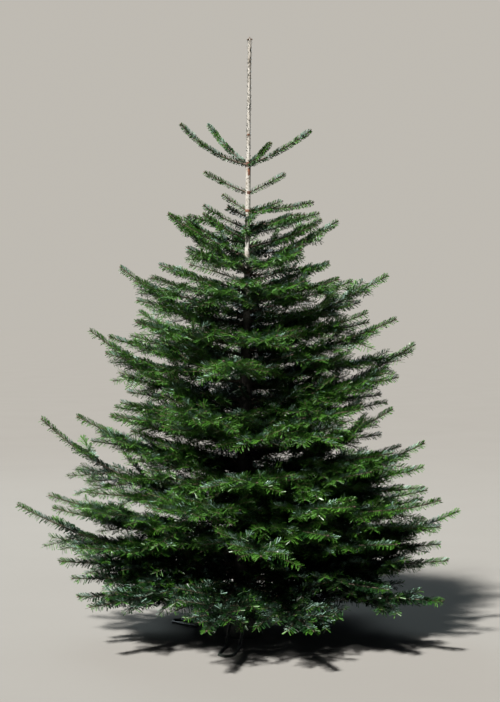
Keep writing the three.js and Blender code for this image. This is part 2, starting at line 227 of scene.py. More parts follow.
# Single boughs between the tiers: height, azimuth, length, and rise at root and tip
SINGLE_BOUGHS = (
    (1.445, 345, 0.120, 8, 20),
    (1.435, 312, 0.120, 4, 8),
    (1.405, 282, 0.120, 10, 14),
    (1.395, 342, 0.200, 4, 14),
    (1.385, 200, 0.170, 16, 34),
    (1.385, 2, 0.245, 8, 16),
    (1.375, 318, 0.200, 8, 18),
    (1.370, 266, 0.110, 2, 6),
    (1.360, 188, 0.210, 22, 14),
    (1.365, 30, 0.200, 10, 20),
    (1.345, 205, 0.180, 22, 32),
    (1.330, 150, 0.190, 28, 36),
    (1.320, 335, 0.260, 10, 20),
    (1.300, 10, 0.280, 22, 28),
    (1.290, 196, 0.240, 20, 30),
    (1.240, 170, 0.335, 54, 18),
    (1.225, 350, 0.270, 4, 10),
    (1.215, 270, 0.290, -8, -3),
    (1.200, 178, 0.200, 22, 14),
    (1.150, 300, 0.360, 4, 10),
    (1.140, 250, 0.340, 4, 10),
    (1.130, 322, 0.380, 8, 14),
    (1.130, 215, 0.380, 8, 16),
    (1.115, 72, 0.340, 12, 22),
    (1.105, 112, 0.330, 12, 22),
    (1.100, 350, 0.370, 12, 20),
    (1.090, 178, 0.300, 6, 14),
    (1.085, 48, 0.300, -2, 2),
    (1.080, 184, 0.360, 20, 16),
    (1.070, 20, 0.340, 4, 12),
    (1.060, 150, 0.320, 4, 12),
    (1.055, 177, 0.380, 12, 14),
    (1.045, 66, 0.300, 0, 0),
    (1.030, 5, 0.400, 12, 18),
    (0.985, 350, 0.420, 8, 14),
    (0.970, 348, 0.430, 12, 22),
    (0.965, 28, 0.340, 0, 6),
    (0.950, 180, 0.380, 14, 22),
    (0.930, 176, 0.400, 10, 16),
    (0.905, 68, 0.400, 12, 22),
    (0.900, 35, 0.330, 0, 2),
    (0.885, 2, 0.570, 2, 14),
    (0.885, 112, 0.420, 10, 20),
    (0.860, 184, 0.480, 8, 16),
    (0.855, 22, 0.340, 0, 4),
    (0.850, 35, 0.440, 8, 18),
    (0.840, 32, 0.360, 0, 2),
    (0.820, 90, 0.420, 4, 14),
    (0.800, 355, 0.470, 6, 16),
    (0.800, 178, 0.430, 6, 16),
    (0.790, 352, 0.520, 6, 14),
    (0.780, 180, 0.400, 4, 10),
    (0.770, 2, 0.460, 4, 8),
    (0.745, 184, 0.400, 4, 8),
    (0.730, 180, 0.440, 4, 8),
    (0.720, 356, 0.480, 6, 12),
    (0.705, 235, 0.400, 0, 6),
    (0.700, 302, 0.540, 0, 2),
    (0.700, 196, 0.460, 4, 10),
    (0.690, 276, 0.500, 0, 4),
    (0.690, 184, 0.430, 10, 18),
    (0.655, 180, 0.460, 6, 16),
    (0.650, 62, 0.460, 4, 14),
    (0.640, 120, 0.460, 4, 14),
    (0.635, 0, 0.460, 4, 8),
    (0.610, 40, 0.460, 2, 10),
    (0.590, 181, 0.520, 7, 9),
    (0.595, 90, 0.450, 2, 10),
    (0.580, 182, 0.400, 14, 20),
    (0.560, 328, 0.560, 6, 12),
    (0.560, 145, 0.500, 2, 12),
    (0.560, 2, 0.560, 2, 8),
    (0.540, 8, 0.550, 4, 16),
    (0.535, 200, 0.420, 0, 4),
    (0.520, 260, 0.340, 4, 12),
    (0.500, 318, 0.540, 6, 14),
    (0.500, 0, 0.570, 2, 10),
    (0.490, 286, 0.340, 4, 12),
    (0.490, 178, 0.360, 2, 8),
    (0.480, 352, 0.600, 0, 6),
    (0.470, 356, 0.610, 4, 16),
    (0.455, 2, 0.540, 2, 8),
    (0.450, 198, 0.540, 4, 8),
    (0.450, 268, 0.360, 0, 8),
    (0.430, 135, 0.500, 2, 10),
    (0.420, 350, 0.620, 2, 14),
    (0.415, 325, 0.620, 2, 10),
    (0.400, 296, 0.580, 0, 4),
    (0.400, 62, 0.520, 0, 10),
    (0.390, 110, 0.520, 0, 8),
    (0.385, 2, 0.610, 2, 12),
    (0.380, 150, 0.320, 0, 6),
    (0.360, 358, 0.660, -2, 4),
    (0.340, 186, 0.650, 2, 16),
    (0.330, 320, 0.620, 0, 8),
    (0.330, 3, 0.620, 0, 4),
    (0.305, 204, 0.600, 0, 6),
    (0.300, 82, 0.520, -2, 6),
    (0.290, 352, 0.660, -2, 8),
    (0.280, 190, 0.560, 2, 14),
    (0.270, 5, 0.600, -2, 6),
    (0.260, 345, 0.690, -4, 8),
    (0.250, 316, 0.620, -4, 2),
    (0.245, 188, 0.620, -2, 6),
    (0.220, 200, 0.590, -2, 4),
    (0.220, 350, 0.600, 0, 6),
    (0.200, 186, 0.500, -2, 4),
    (0.190, 12, 0.520, 0, 6),
    (0.170, 203, 0.580, -2, 3),
)

# Boughs that fill the inside of the crown. Height and spacing are given low and high on the trunk. The reach
# is a share of the crown's radius, with more of it at the back and as much less at the front.
INNER_HEIGHTS = (0.16, 1.4)
INNER_SPACING = (0.048, 0.030)
INNER_REACH = 0.68
INNER_BACK_REACH = 0.17
INNER_LENGTH = (0.62, 1.1)
INNER_RISE = (-4, 12)
INNER_TIP_RISE = 10
# How much further behind its growing tips an inner bough counts, so that its needles are old ones: older
# needles inside the crown, and painted shade, as they take the darkest colour
INNER_AGE_AND_SHADE = 0.3

# The crown's radius at heights on the trunk
CROWN_HEIGHTS = (0.2, 0.72, 0.99, 1.24, 1.45)
CROWN_RADII = (0.60, 0.52, 0.43, 0.29, 0.14)
GOLDEN_ANGLE = 137.5

# How many needles there are, and how they are dealt out
NEEDLE_TOTAL = 418000
NEEDLES_PER_PIECE = 95000
NEEDLES_LEAST = 8
# Density by the shoot's order, by its place from the trunk to the crown's edge, and by its height
ORDER_DENSITY = (2.3, 1.15, 1.0, 0.8)
INSIDE_DENSITY = ((0.15, 0.6), (0.5, 1.0))
YOUNG_DENSITY = ((1.1, 1.3, 1.6), (1.0, 1.35, 1.9))
# Ranks of needles round a shoot: degrees from its top, and share of the needles
RANKS = ((0, 0.16), (30, 0.15), (-30, 0.15), (60, 0.13), (-60, 0.13), (88, 0.14), (-88, 0.14))
RANK_SPREAD = math.radians(11)
GOLDEN_SHARE = 0.618034

# The needle's shape. The one at a shoot's top points more forward and is shorter than the one at its side.
NEEDLE_WIDTH = 0.0026
NEEDLE_WIDTH_SPREAD = (0.85, 1.15)
NEEDLE_BASE_SHARE = 0.55
NEEDLE_END_SHARE = 0.9
NEEDLE_TWIST = 0.5
NEEDLE_SEAT = 0.6
TOP_NEEDLE = 0.020
SIDE_NEEDLE = 0.028
NEEDLE_LENGTH_SPREAD = (0.9, 1.05)
TOP_ANGLE = 36
SIDE_ANGLE = 64
ANGLE_SPREAD = 4
SIDE_DROOP = 0.45
# A shoot's needles part on its upper side, which leans from its own over direction towards the sky
OVER_SHARE = 0.55
UP_SHARE = 0.6
# Towards a shoot's tip needles close up and shorten, and near its root they are shorter too
TIP_FROM = 0.8
TIP_RUN = 0.2
TIP_CLOSING = 0.5
TIP_SHORTENING = 0.3
TIP_BEHIND = 0.001
ROOT_LENGTH = 0.75
ROOT_GAIN = 0.6
# Between these heights needles turn into those of young shoots: shorter, and all round the shoot
YOUNG_HEIGHTS = (1.15, 1.50)
YOUNG_NEEDLE_SHARE = 0.52
YOUNG_SPREAD = 0.7

# Ages of needles, and how much wider the older ones are. The pale ones are a painted highlight: whitish
# glints along the crests of shoots.
NEEDLE_AGES_AND_GLINT = ("new", "grown", "old", "pale")
AGE_WIDTHS = (1.0, 1.15, 1.65, 1.0)
# One year's growth by the shoot's order, and how much of it there is low in the crown: slower growth there,
# and painted shade, as the low needles take the older, darker colours
YEAR_GROWTH = (0.12, 0.075, 0.04, 0.03)
LOW_GROWTH_AND_SHADE = ((0.22, 0.45), (0.2, 1.0))
# Pale crests, a painted highlight: the share of shoots that have one, its length along the shoot, its width
# round the shoot's top in radians, and the share of the needles in it that are made pale
PALE_SHOOTS = 0.6
PALE_REACH = 0.55
PALE_AROUND = 1.0
PALE_SHARE = 0.75
NO_CREST = -9

# The leader's own needles: from this height to just under the tip, with a tuft at the top
LEADER_NEEDLES = 330
LEADER_FROM = 1.62
LEADER_TO_TIP = 0.02
LEADER_CROWDING = 0.8
LEADER_LENGTH = 0.007
LEADER_LENGTH_SPREAD = (0.8, 1.3)
LEADER_LEAN = 0.55
LEADER_SEAT = 0.9
LEADER_HALF_WIDTH = 0.45
TUFT_REACH = 0.05
TUFT_LENGTH = 0.008

# Buds: lengths at a bough's tip, beside it, at a shoot's tip and on the leader, with a ring below the last
BOUGH_BUD = 0.009
BESIDE_BUD = 0.007
SHOOT_BUD = 0.006
LEADER_BUD = 0.011
LEADER_BUD_RING = 5
LEADER_BUD_DROP = 0.006
LEADER_BUD_OUT = 0.004
LEADER_BUD_TURN = 0.3
LEADER_BUD_RISE = 0.9
BUD_SPLAY = 0.9
# A bud's width, widest place and root, as shares of its length
BUD_WIDTH_SHARE = 0.62
BUD_MIDDLE = 0.38
BUD_ROOT = 0.15

# Sides, rings in the collar and past it, of a tier's bough and of one between the tiers
TIER_LIMB = (8, 6, 20)
BETWEEN_LIMB = (5, 5, 8)
COLLAR_END = 0.12
LIMB_START = 0.15

# Bark relief, with depths as shares of the radius. The trunk's scales are round it and up it.
BOUGH_RELIEF = ((160, 0.1), (420, 0.08))
COLLAR_SWELL = 0.45
COLLAR_REACH = 1.3
WHORL_SWELL = 0.09
WHORL_REACH = 0.016
TRUNK_TIP_RADIUS = 0.0006
RIDGE_SCALES = (2.2, 26)
RIDGE_DEPTH = 0.022
GRAIN_SCALES = (7, 120)
GRAIN_DEPTH = 0.016
BLISTER_SCALES = (9, 210)
BLISTER_DEPTH = 0.05
BLISTER_FROM = 0.28
TRUNK_SIDES = 36
TRUNK_RINGS = 380
SCAR_COLUMNS = 18
SCAR_ROWS = 7
SCAR_RAGGED = 0.45
SCAR_SCALES = (3.1, 90, 0.2)
SCAR_TUCK = 0.0001
# Older bark and painted shade under the crown: the trunk's bark is toned by this below the first height,
# and less and less up to the second
OLD_BARK_AND_SHADE = (0.06, 0.052, 0.045)
OLD_BARK_AND_SHADE_HEIGHTS = (1.06, 1.16)

# Colours, and ramps of them by the value of a noise
WHITE = (1.0, 1.0, 1.0)
STREAK_TONE = (0.45, 0.5, 0.45)
MARK_TONE = (0.25, 0.22, 0.18)
TRUNK_STOPS = ((0.3, (0.17, 0.15, 0.125)), (0.45, (0.26, 0.245, 0.22)), (0.7, (0.37, 0.36, 0.34)))
BOUGH_STOPS = ((0.3, (0.030, 0.020, 0.014)), (0.7, (0.085, 0.060, 0.042)))
TWIG_STOPS = ((0.3, (0.030, 0.024, 0.012)), (0.7, (0.080, 0.060, 0.030)))
SCAR_STOPS = ((0.3, (0.035, 0.016, 0.01)), (0.7, (0.16, 0.06, 0.03)))
BUD_STOPS = ((0.3, (0.05, 0.03, 0.02)), (0.7, (0.10, 0.07, 0.05)))
PAINT_STOPS = ((0.35, (0.012, 0.016, 0.013)), (0.62, (0.02, 0.026, 0.021)), (0.8, (0.07, 0.07, 0.06)))
FLOOR_STOPS = ((0.3, (0.157, 0.153, 0.145)), (0.7, (0.161, 0.157, 0.149)))
# Needles by age: darkest and lightest colour, least and most roughness, and gloss level
NEEDLE_LOOKS = {
    "new": ((0.020, 0.082, 0.006), (0.050, 0.147, 0.012), (0.34, 0.54), 0.45),
    "grown": ((0.005, 0.032, 0.003), (0.012, 0.060, 0.006), (0.32, 0.52), 0.45),
    "old": ((0.002, 0.012, 0.003), (0.005, 0.024, 0.005), (0.28, 0.48), 0.4),
    # The pale row is a painted highlight: the whitish glint on the crests of shoots.
    "pale": ((0.11, 0.20, 0.16), (0.25, 0.37, 0.31), (0.36, 0.56), 0.45),
}

# Noises in the materials: usual spread, then scale and detail. The marks' scale multiplies the bark's own.
NOISE_SPREAD = (0.3, 0.7)
NEEDLE_DRIFT = (16.0, 3.0)
NEEDLE_STREAKS = (380.0, 1.0)
NEEDLE_GLOSS = (160.0, 2.0)
BARK_DETAIL = 8.0
MARK_FINENESS = 9
MARK_DETAIL = 3.0
MARK_SHARE = 0.85
PAINT_DUST = (30.0, 6.0)
PAINT_GRAIN = (420.0, 2.0)
FLOOR_DRIFT = (1.5, 3.0)
# Least and most roughness, and bump: strength, and for the paint its depth
BARK_ROUGHNESS = (0.7, 0.92)
BARK_BUMP = 0.5
PAINT_ROUGHNESS = (0.32, 0.5)
PAINT_BUMP = (0.15, 0.0004)
FLOOR_ROUGHNESS = 0.9

# Camera, light and floor
CAMERA_PLACE = (0.024, -4.57, 1.05)
CAMERA_PITCH = math.radians(-1.02)
CAMERA_LENS = 68.9
CAMERA_SENSOR = 36
KEY_DIRECTION = (-0.37, -0.53, 0.76)
KEY_STRENGTH = 13.4
KEY_ANGLE = math.radians(5)
KEY_COLOR = (1.0, 0.97, 0.92)
TOP_PLACE = (-1.6, 3.2, 4.6)
TOP_TARGET = (0, 0, 0.9)
TOP_SIZE = 2.6
TOP_POWER = 125
TOP_COLOR = (0.80, 0.95, 1.0)
SKY_STRENGTH = 0.05
SKY_COLOR = (0.72, 0.84, 1.0)
BACKDROP = (0.52, 0.494, 0.447)
FLOOR_REACH = 400.0

UP = np.array((0.0, 0.0, 1.0))
# A direction that no bud points in
NEAR_UP = UP + 0.01
# The draws for all that the solids don't have
fine = np.random.default_rng(20)


def seeded_numbers(seed):
    """Even numbers from 0 to 1, the same row as the solids are grown from."""
    state = seed
    while True:
        state = (state * 1664525 + 1013904223) % 4294967296
        yield state / 4294967296


def evenly(numbers, reach):
    return (next(numbers) * 2 - 1) * reach


def unit(vectors):
    return vectors / np.linalg.norm(vectors, axis=-1, keepdims=True)


def trunk_x(height):
    return height * math.tan(TRUNK_LEAN)


def trunk_radius(height):
    shares, radii = zip(*TRUNK_TAPER)
    return np.interp(np.asarray(height) / TREE_HEIGHT, shares, radii)


def bough_axis(height, azimuth, length, rise_root, rise_tip, sweep):
    """Points at even shares of a bough's middle line, from the middle of the trunk."""
    share = (np.arange(AXIS_STEPS) + 0.5) / AXIS_STEPS
    rise = np.radians(rise_root + (rise_tip - rise_root) * share)
    turn = np.radians(azimuth + sweep * (share - 0.5))
    steps = np.stack((np.cos(rise) * np.cos(turn), np.cos(rise) * np.sin(turn), np.sin(rise)), 1)
    points = np.vstack((np.zeros(3), np.cumsum(steps * length / AXIS_STEPS, axis=0)))
    return points + (trunk_x(height), 0, height)


def at_share(axis, share):
    """The point, the direction, the level side and the over direction at a share of a bough's axis."""
    place = np.clip(share, 0, 0.999) * AXIS_STEPS
    step = int(place)
    point = axis[step] + (axis[step + 1] - axis[step]) * (place - step)
    along = unit(axis[min(step + 2, AXIS_STEPS)] - axis[max(step - 1, 0)])
    side = unit(np.cross(UP, along))
    return point, along, side, np.cross(along, side)


class Shoots:
    """Many shoots as arrays, each a gently curved line: root + length * (along * t + bend * t * t).

    over is the upper side, and behind is how far the shoot's end lies behind the growing tip.
    """

    FIELDS = ("root", "along", "over", "bend", "length", "radius", "tip_radius", "bough", "order", "behind")

    def __init__(self, rows):
        for field, kind in zip(self.FIELDS, zip(*rows)):
            setattr(self, field, np.array(kind, float))
        self.bough = self.bough.astype(int)
        self.order = self.order.astype(int)

    def point(self, index, share):
        share = share[..., None]
        length = self.length[index][..., None]
        return self.root[index] + length * (self.along[index] * share + self.bend[index] * share**2)

    def heading(self, index, share):
        return unit(self.along[index] + 2 * self.bend[index] * share[..., None])


def shoot_direction(along, side, over, hand, angle, lift):
    level = along * math.cos(angle) + side * (hand * math.sin(angle))
    return level * math.cos(lift) + over * math.sin(lift)


def levelled(direction, root, length):
    """A direction with less rise, turned up where its tip would hang too low."""
    rise = direction[2] * SPRAY_LEVELLING
    if root[2] + rise * length < LOWEST_TIP:
        rise = abs(rise)
    return unit(np.array((direction[0], direction[1], rise)))


def turned(vector, axis, angle):
    """A vector turned about an axis square to it."""
    return vector * math.cos(angle) + np.cross(axis, vector) * math.sin(angle)


def shoot_row(root, along, over, length, bough, order):
    """One shoot's values, in the order of the fields."""
    radius = TWIG_RADIUS + TWIG_RADIUS_SHARE * length
    bend = UP * fine.uniform(*SHOOT_BEND)
    return root, along, over, bend, length, radius, TWIG_RADIUS, bough, order, 0.0


def side_length(length, share):
    return length * (SPRAY_LENGTH_SHARE * (1 - share) + SPRAY_LENGTH_BASE)


def first_order(axis, length, bough, numbers, between):
    """The shoots set along one bough: the pairs that the solids have, then shorter ones between them."""
    pairs, tip_from = next((row[1], row[2]) for row in SPRAY_PLANS if length >= row[0])
    # The solids turn their stem by this number
    next(numbers)
    rows = []
    for pair in range(pairs):
        even = pair / (pairs - 1)
        last = tip_from - LAST_PAIR_BEFORE_TIP
        for hand in (1, -1):
            share = FIRST_PAIR_SHARE + (last - FIRST_PAIR_SHARE) * even + (next(numbers) - 0.5) * PAIR_STAGGER
            angle = SPRAY_ANGLE + evenly(numbers, SPRAY_ANGLE_SPREAD)
            lift = evenly(numbers, SPRAY_LIFT)
            roll = evenly(numbers, SPRAY_ROLL)
            size = SPRAY_SIZE[0] + SPRAY_SIZE[1] * next(numbers)
            point, along, side, over = at_share(axis, share)
            reach = side_length(length, share)
            direction = levelled(shoot_direction(along, side, over, hand, angle, lift), point, reach)
            over = turned(unit(over - direction * (over @ direction)), direction, roll * ROLL_SHARE)
            rows.append(shoot_row(point, direction, over, reach * size, bough, 1))
    if pairs:
        for share in between[LEFT_OUT_ABOVE if axis[0][2] > OPEN_ABOVE else 0 :]:
            for hand in (1, -1):
                here = share + fine.uniform(-BETWEEN_SCATTER, BETWEEN_SCATTER)
                size = side_length(length, here) * fine.uniform(*BETWEEN_LENGTH)
                point, along, side, over = at_share(axis, here)
                angle = SPRAY_ANGLE + fine.uniform(*BETWEEN_TURN)
                lift = fine.uniform(-BETWEEN_LIFT, BETWEEN_LIFT)
                direction = levelled(shoot_direction(along, side, over, hand, angle, lift), point, size)
                over = unit(over - direction * (over @ direction))
                rows.append(shoot_row(point, direction, over, size, bough, 1))
    return rows


def next_order(parents, shares, order):
    """Pairs of side shoots on every parent that is long enough to carry them."""
    rows = []
    for parent in parents:
        root, along, over, bend, length, _, _, bough, _, _ = parent
        for share in shares:
            for hand in (1, -1):
                here = share + fine.uniform(-TWIG_SCATTER, TWIG_SCATTER)
                size = side_length(length, here) * fine.uniform(*TWIG_LENGTH)
                if size < TWIG_LEAST:
                    continue
                tangent = unit(along + 2 * bend * here)
                side = unit(np.cross(over, tangent))
                top = np.cross(tangent, side)
                angle = SPRAY_ANGLE + fine.uniform(-TWIG_TURN, TWIG_TURN)
                lift = fine.uniform(-TWIG_LIFT, TWIG_LIFT)
                direction = unit(shoot_direction(tangent, side, top, hand, angle, lift))
                top = unit(top - direction * (top @ direction))
                point = root + length * (along * here + bend * here * here)
                rows.append(shoot_row(point, direction, top, size, bough, order))
    return rows


def axis_shoots(axis, length, bough, bare):
    """The bough's own line as short shoots end to end, so that it carries needles along its curve."""
    rows = []
    links = max(2, int(length / AXIS_LINK))
    for link in range(links):
        start, end = link / links, (link + 1) / links
        if end <= bare:
            continue
        point, _, _, over = at_share(axis, start)
        tip = at_share(axis, end)[0]
        run = tip - point
        size = float(np.linalg.norm(run))
        to_tip = length * (1 - end)
        rows.append((point, run / size, over, np.zeros(3), size, 0.0, 0.0, bough, 0, to_tip))
    return rows


def inner_boughs():
    """Boughs up the trunk between the tiers: height, azimuth, length, and rise at root and tip."""
    heights = [INNER_HEIGHTS[0]]
    while heights[-1] < INNER_HEIGHTS[1]:
        heights.append(heights[-1] + float(np.interp(heights[-1], INNER_HEIGHTS, INNER_SPACING)))
    crown = np.interp(heights, CROWN_HEIGHTS, CROWN_RADII)
    for number, (height, radius) in enumerate(zip(heights, crown)):
        azimuth = (number * GOLDEN_ANGLE) % 360
        length = radius * (INNER_REACH + INNER_BACK_REACH * math.sin(math.radians(azimuth)))
        rise = fine.uniform(*INNER_RISE)
        yield float(height), azimuth, length * fine.uniform(*INNER_LENGTH), rise, rise + INNER_TIP_RISE


def grow():
    """Every bough's axis, and every shoot of the tree."""
    boughs, rows = [], []
    for tier, (height, tier_boughs) in enumerate(TIERS):
        for place, (azimuth, length, rise_root, rise_tip) in enumerate(tier_boughs):
            numbers = seeded_numbers(1000 * (tier + 1) + place)
            sweep = evenly(numbers, SWEEP_DEG)
            axis = bough_axis(height, azimuth, length, rise_root, rise_tip, sweep)
            bough = len(boughs)
            label = f"tier_{tier + 1:02d}_{place + 1}"
            boughs.append({"label": label, "axis": axis, "length": length, "height": height})
            is_open = label in OPEN_BOUGHS
            first = first_order(axis, length, bough, numbers, OPEN_BETWEEN if is_open else BETWEEN_SHARES)
            second = next_order(first, OPEN_TWIGS if is_open else TWIG_SHARES, 2)
            third = next_order(second, TWIGLET_SHARES, 3)
            bare = (SHORT_BARE + float(trunk_radius(height))) / length
            rows += axis_shoots(axis, length, bough, bare if length < SHORT_BOUGH else TIER_BARE)
            rows += first + second + third
    # Inner boughs count as older: their needles take the darkest colour, older growth and painted shade.
    between_tiers = [(*row, 0) for row in SINGLE_BOUGHS] + [(*row, INNER_AGE_AND_SHADE) for row in inner_boughs()]
    for height, azimuth, length, rise_root, rise_tip, age in between_tiers:
        axis = bough_axis(height, azimuth, length, rise_root, rise_tip, 0)
        bough = len(boughs)
        boughs.append({"label": "", "axis": axis, "length": length, "height": height})
        first = first_order(axis, length, bough, seeded_numbers(bough), BETWEEN_SHARES[::2])
        mine = axis_shoots(axis, length, bough, BETWEEN_BARE) + first + next_order(first, TWIG_SHARES, 2)
        rows += [(*row[:-1], row[-1] + age) for row in mine]
    return boughs, Shoots(rows)


# Meshes from arrays


def ride_on_tree(mesh, material, replaced):
    """The object of a finished mesh, riding on the tree's one body."""
    mesh.materials.append(material)
    piece = bpy.data.objects.new(mesh.name, mesh)
    bpy.context.scene.collection.objects.link(piece)
    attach(piece, "root")
    if replaced:
        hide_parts(*replaced)


def add_piece(name, vertices, faces, material, replaced=()):
    """A smooth piece from lists of vertices and faces."""
    mesh = bpy.data.meshes.new(name)
    mesh.from_pydata(np.asarray(vertices).tolist(), [], faces)
    mesh.shade_smooth()
    ride_on_tree(mesh, material, replaced)


def add_triangles(name, vertices, triangles, material, replaced=()):
    """A large piece of flat triangles, filled straight from arrays."""
    mesh = bpy.data.meshes.new(name)
    count = len(triangles)
    mesh.vertices.add(len(vertices))
    mesh.vertices.foreach_set("co", np.asarray(vertices, np.float32).ravel())
    mesh.loops.add(count * 3)
    mesh.loops.foreach_set("vertex_index", np.asarray(triangles, np.int32).ravel())
    mesh.polygons.add(count)
    mesh.polygons.foreach_set("loop_start", np.arange(0, count * 3, 3, dtype=np.int32))
    mesh.update(calc_edges=True)
    mesh.validate()
    ride_on_tree(mesh, material, replaced)


def rings_along(points, radii, sides):
    """Rings of a tube along points, each turned as little as can be from the one before."""
    tangents = unit(np.gradient(points, axis=0))
    across = unit(np.cross(tangents[0], UP))
    rings = []
    angles = (np.arange(sides) * 2 * math.pi / sides)[:, None]
    for point, tangent, radius in zip(points, tangents, radii):
        across = unit(across - tangent * (across @ tangent))
        spokes = np.cos(angles) * across + np.sin(angles) * np.cross(tangent, across)
        rings.append(point + spokes * radius)
    return np.array(rings)


def tube_faces(rings, sides, first=0):
    """Quads between rings and the two end faces, all facing out."""
    faces = []
    for ring in range(rings - 1):
        low = first + ring * sides
        for k in range(sides):
            after = (k + 1) % sides
            faces.append((low + k, low + after, low + sides + after, low + sides + k))
    faces.append(tuple(first + k for k in reversed(range(sides))))
    faces.append(tuple(first + (rings - 1) * sides + k for k in range(sides)))
    return faces


# Needles


def needle_arrays(shoots, index, share, around, age):
    """Corners of many needles. around is each one's angle round its shoot, from the top."""
    count = len(index)
    tangent = shoots.heading(index, share)
    lean_up = unit(shoots.over[index] * OVER_SHARE + UP * UP_SHARE)
    top = unit(lean_up - tangent * np.sum(lean_up * tangent, 1, keepdims=True))
    side = np.cross(tangent, top)
    young = np.interp(shoots.point(index, share)[:, 2], YOUNG_HEIGHTS, (0, 1))
    around = around * (1 + young)
    sideways = np.clip(np.abs(around) / math.radians(90), YOUNG_SPREAD * young, 1)
    radial = top * np.cos(around)[:, None] + side * np.sin(around)[:, None]
    near_tip = np.clip((share - TIP_FROM) / TIP_RUN, 0, 1) * (shoots.behind[index] < TIP_BEHIND)
    angle = TOP_ANGLE + (SIDE_ANGLE - TOP_ANGLE) * sideways * (1 - TIP_CLOSING * near_tip)
    angle = np.radians(angle + fine.normal(0, ANGLE_SPREAD, count))
    direction = tangent * np.cos(angle)[:, None] + radial * np.sin(angle)[:, None]
    direction = unit(direction - UP * (SIDE_DROOP * sideways * (1 - young))[:, None])
    length = TOP_NEEDLE + (SIDE_NEEDLE - TOP_NEEDLE) * sideways
    length = length * fine.uniform(*NEEDLE_LENGTH_SPREAD, count) * (1 - TIP_SHORTENING * near_tip)
    length = length * (1 - young * (1 - YOUNG_NEEDLE_SHARE))
    from_root = share * shoots.length[index] / SIDE_NEEDLE
    length = length * np.clip(ROOT_LENGTH + ROOT_GAIN * from_root, ROOT_LENGTH, 1)
    width = unit(np.cross(top, direction))
    twist = fine.normal(0, NEEDLE_TWIST, count)[:, None]
    normal = np.cross(direction, width)
    width = width * np.cos(twist) + normal * np.sin(twist)
    radius = shoots.radius[index] + (shoots.tip_radius[index] - shoots.radius[index]) * share
    base = shoots.point(index, share) + radial * (radius * NEEDLE_SEAT)[:, None]
    half = (NEEDLE_WIDTH / 2) * (np.array(AGE_WIDTHS)[age] * fine.uniform(*NEEDLE_WIDTH_SPREAD, count))
    return needle_corners(base, base + direction * length[:, None], width * half[:, None])


def needle_corners(base, end, half_width):
    """Each needle is a flat strip, narrower at its base and blunt at its end."""
    narrow, blunt = half_width * NEEDLE_BASE_SHARE, half_width * NEEDLE_END_SHARE
    return np.stack((base - narrow, base + narrow, end + blunt, end - blunt), 1)


def needle_mesh(corners):
    """Two triangles for each needle."""
    triangles = np.array(((0, 1, 2), (0, 2, 3)))[None] + (np.arange(len(corners)) * 4)[:, None, None]
    return corners.reshape(-1, 3), triangles.reshape(-1, 3)


def needle_ages(shoots, index, share):
    """0 on this year's growth at each tip, 1 behind it, 2 further in."""
    to_tip = (1 - share) * shoots.length[index] + shoots.behind[index]
    year = np.array(YEAR_GROWTH)[shoots.order[index]]
    # Slower growth and painted shade: low in the crown more needles take the older, darker colours.
    year = year * np.interp(shoots.root[index][:, 2], *LOW_GROWTH_AND_SHADE)
    return np.clip((to_tip / year).astype(int), 0, 2)


def openness(shoots):
    """Less for shoots deep inside the crown, where few needles show."""
    root = shoots.root
    from_trunk = np.hypot(root[:, 0] - trunk_x(root[:, 2]), root[:, 1])
    crown = np.interp(root[:, 2], CROWN_HEIGHTS, CROWN_RADII)
    return np.interp(from_trunk / crown, *INSIDE_DENSITY)


def painted_crest_glints(shoots, index, share, around):
    """Crest needles that get the pale colour, a painted highlight, in patches along some shoots."""
    count = len(shoots.length)
    middle = np.where(fine.random(count) < PALE_SHOOTS, fine.random(count), NO_CREST)
    in_patch = np.abs(share - middle[index]) < PALE_REACH / 2
    return in_patch & (np.abs(around) < PALE_AROUND) & (fine.random(len(index)) < PALE_SHARE)


def needle_pieces(boughs, shoots, materials):
    """Needles over every shoot, dealt out by age and painted crest highlight, in pieces of whole boughs."""
    weights = shoots.length * np.array(ORDER_DENSITY)[shoots.order] * openness(shoots)
    weights = weights * np.interp(shoots.root[:, 2], *YOUNG_DENSITY)
    counts = np.maximum(NEEDLES_LEAST, np.round(weights * NEEDLE_TOTAL / weights.sum())).astype(int)
    index = np.repeat(np.arange(len(counts)), counts)
    rank = np.arange(len(index)) - np.repeat(np.cumsum(counts) - counts, counts)
    share = (rank + fine.random(len(index))) / counts[index]
    place = (rank * GOLDEN_SHARE + np.repeat(fine.random(len(counts)), counts)) % 1
    degrees, shares = zip(*RANKS)
    rank_angle = np.radians(degrees)[np.searchsorted(np.cumsum(shares)[:-1], place)]
    around = rank_angle + fine.normal(0, RANK_SPREAD, len(index))
    age = needle_ages(shoots, index, share)
    # Painted highlight: crest needles in patches take the pale colour.
    age[painted_crest_glints(shoots, index, share, around)] = NEEDLE_AGES_AND_GLINT.index("pale")
    corners = needle_arrays(shoots, index, share, around, age)
    bough = shoots.bough[index]
    for number, name in enumerate(NEEDLE_AGES_AND_GLINT):
        mine = np.flatnonzero(age == number)
        mine = mine[np.argsort(bough[mine], kind="stable")]
        pieces = math.ceil(len(mine) / NEEDLES_PER_PIECE)
        for piece, chosen in enumerate(np.array_split(mine, pieces)):
            held = sorted(set(bough[chosen]))
            nodes = ["foliage_" + boughs[k]["label"] for k in held if boughs[k]["label"]]
            vertices, triangles = needle_mesh(corners[chosen])
            title = f"needles_{name}_{piece + 1}"
            add_triangles(title, vertices, triangles, materials[name], nodes)


# Twigs and boughs


